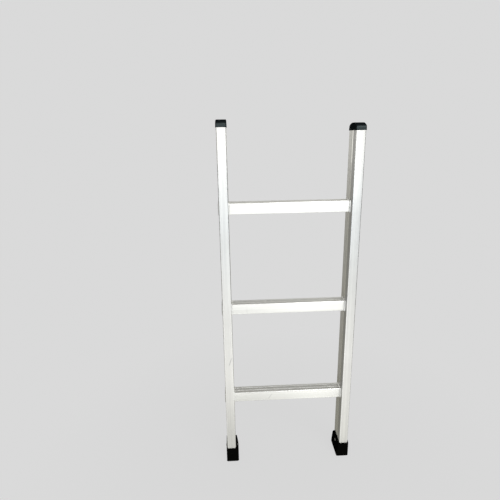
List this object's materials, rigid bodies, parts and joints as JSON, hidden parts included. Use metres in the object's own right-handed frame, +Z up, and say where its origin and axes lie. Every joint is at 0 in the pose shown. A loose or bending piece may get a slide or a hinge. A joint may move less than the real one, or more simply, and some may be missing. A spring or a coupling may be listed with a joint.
{
  "type": "straight ladder section",
  "caption": "Short straight aluminium ladder: box-section stiles joined by square grooved rungs, with black end caps on top and black moulded feet.",
  "frame": {"origin": "on the ground under the soles, midway between the two stiles and midway through their depth", "axes": "+X along the rungs towards the right stile as seen from the front, +Y from the front face to the back, +Z up along the stiles"},
  "size_m": [0.3744, 0.066, 0.9925],
  "materials": {
    "stile_aluminium": "satin mill finish",
    "rung_aluminium": "satin mill finish",
    "cap_plastic": "moulded, matt",
    "foot_rubber": "moulded, matt",
    "rivet_aluminium": "bright"
  },
  "bodies": {
    "root": {"left_stile": "stile_aluminium", "right_stile": "stile_aluminium", "bottom_rung": "rung_aluminium", "middle_rung": "rung_aluminium", "top_rung": "rung_aluminium", "left_cap": "cap_plastic", "right_cap": "cap_plastic", "left_foot": "foot_rubber", "right_foot": "foot_rubber", "left_foot_inner_rivet": "rivet_aluminium", "left_foot_outer_rivet": "rivet_aluminium", "right_foot_inner_rivet": "rivet_aluminium", "right_foot_outer_rivet": "rivet_aluminium"}
  },
  "joints": []
}
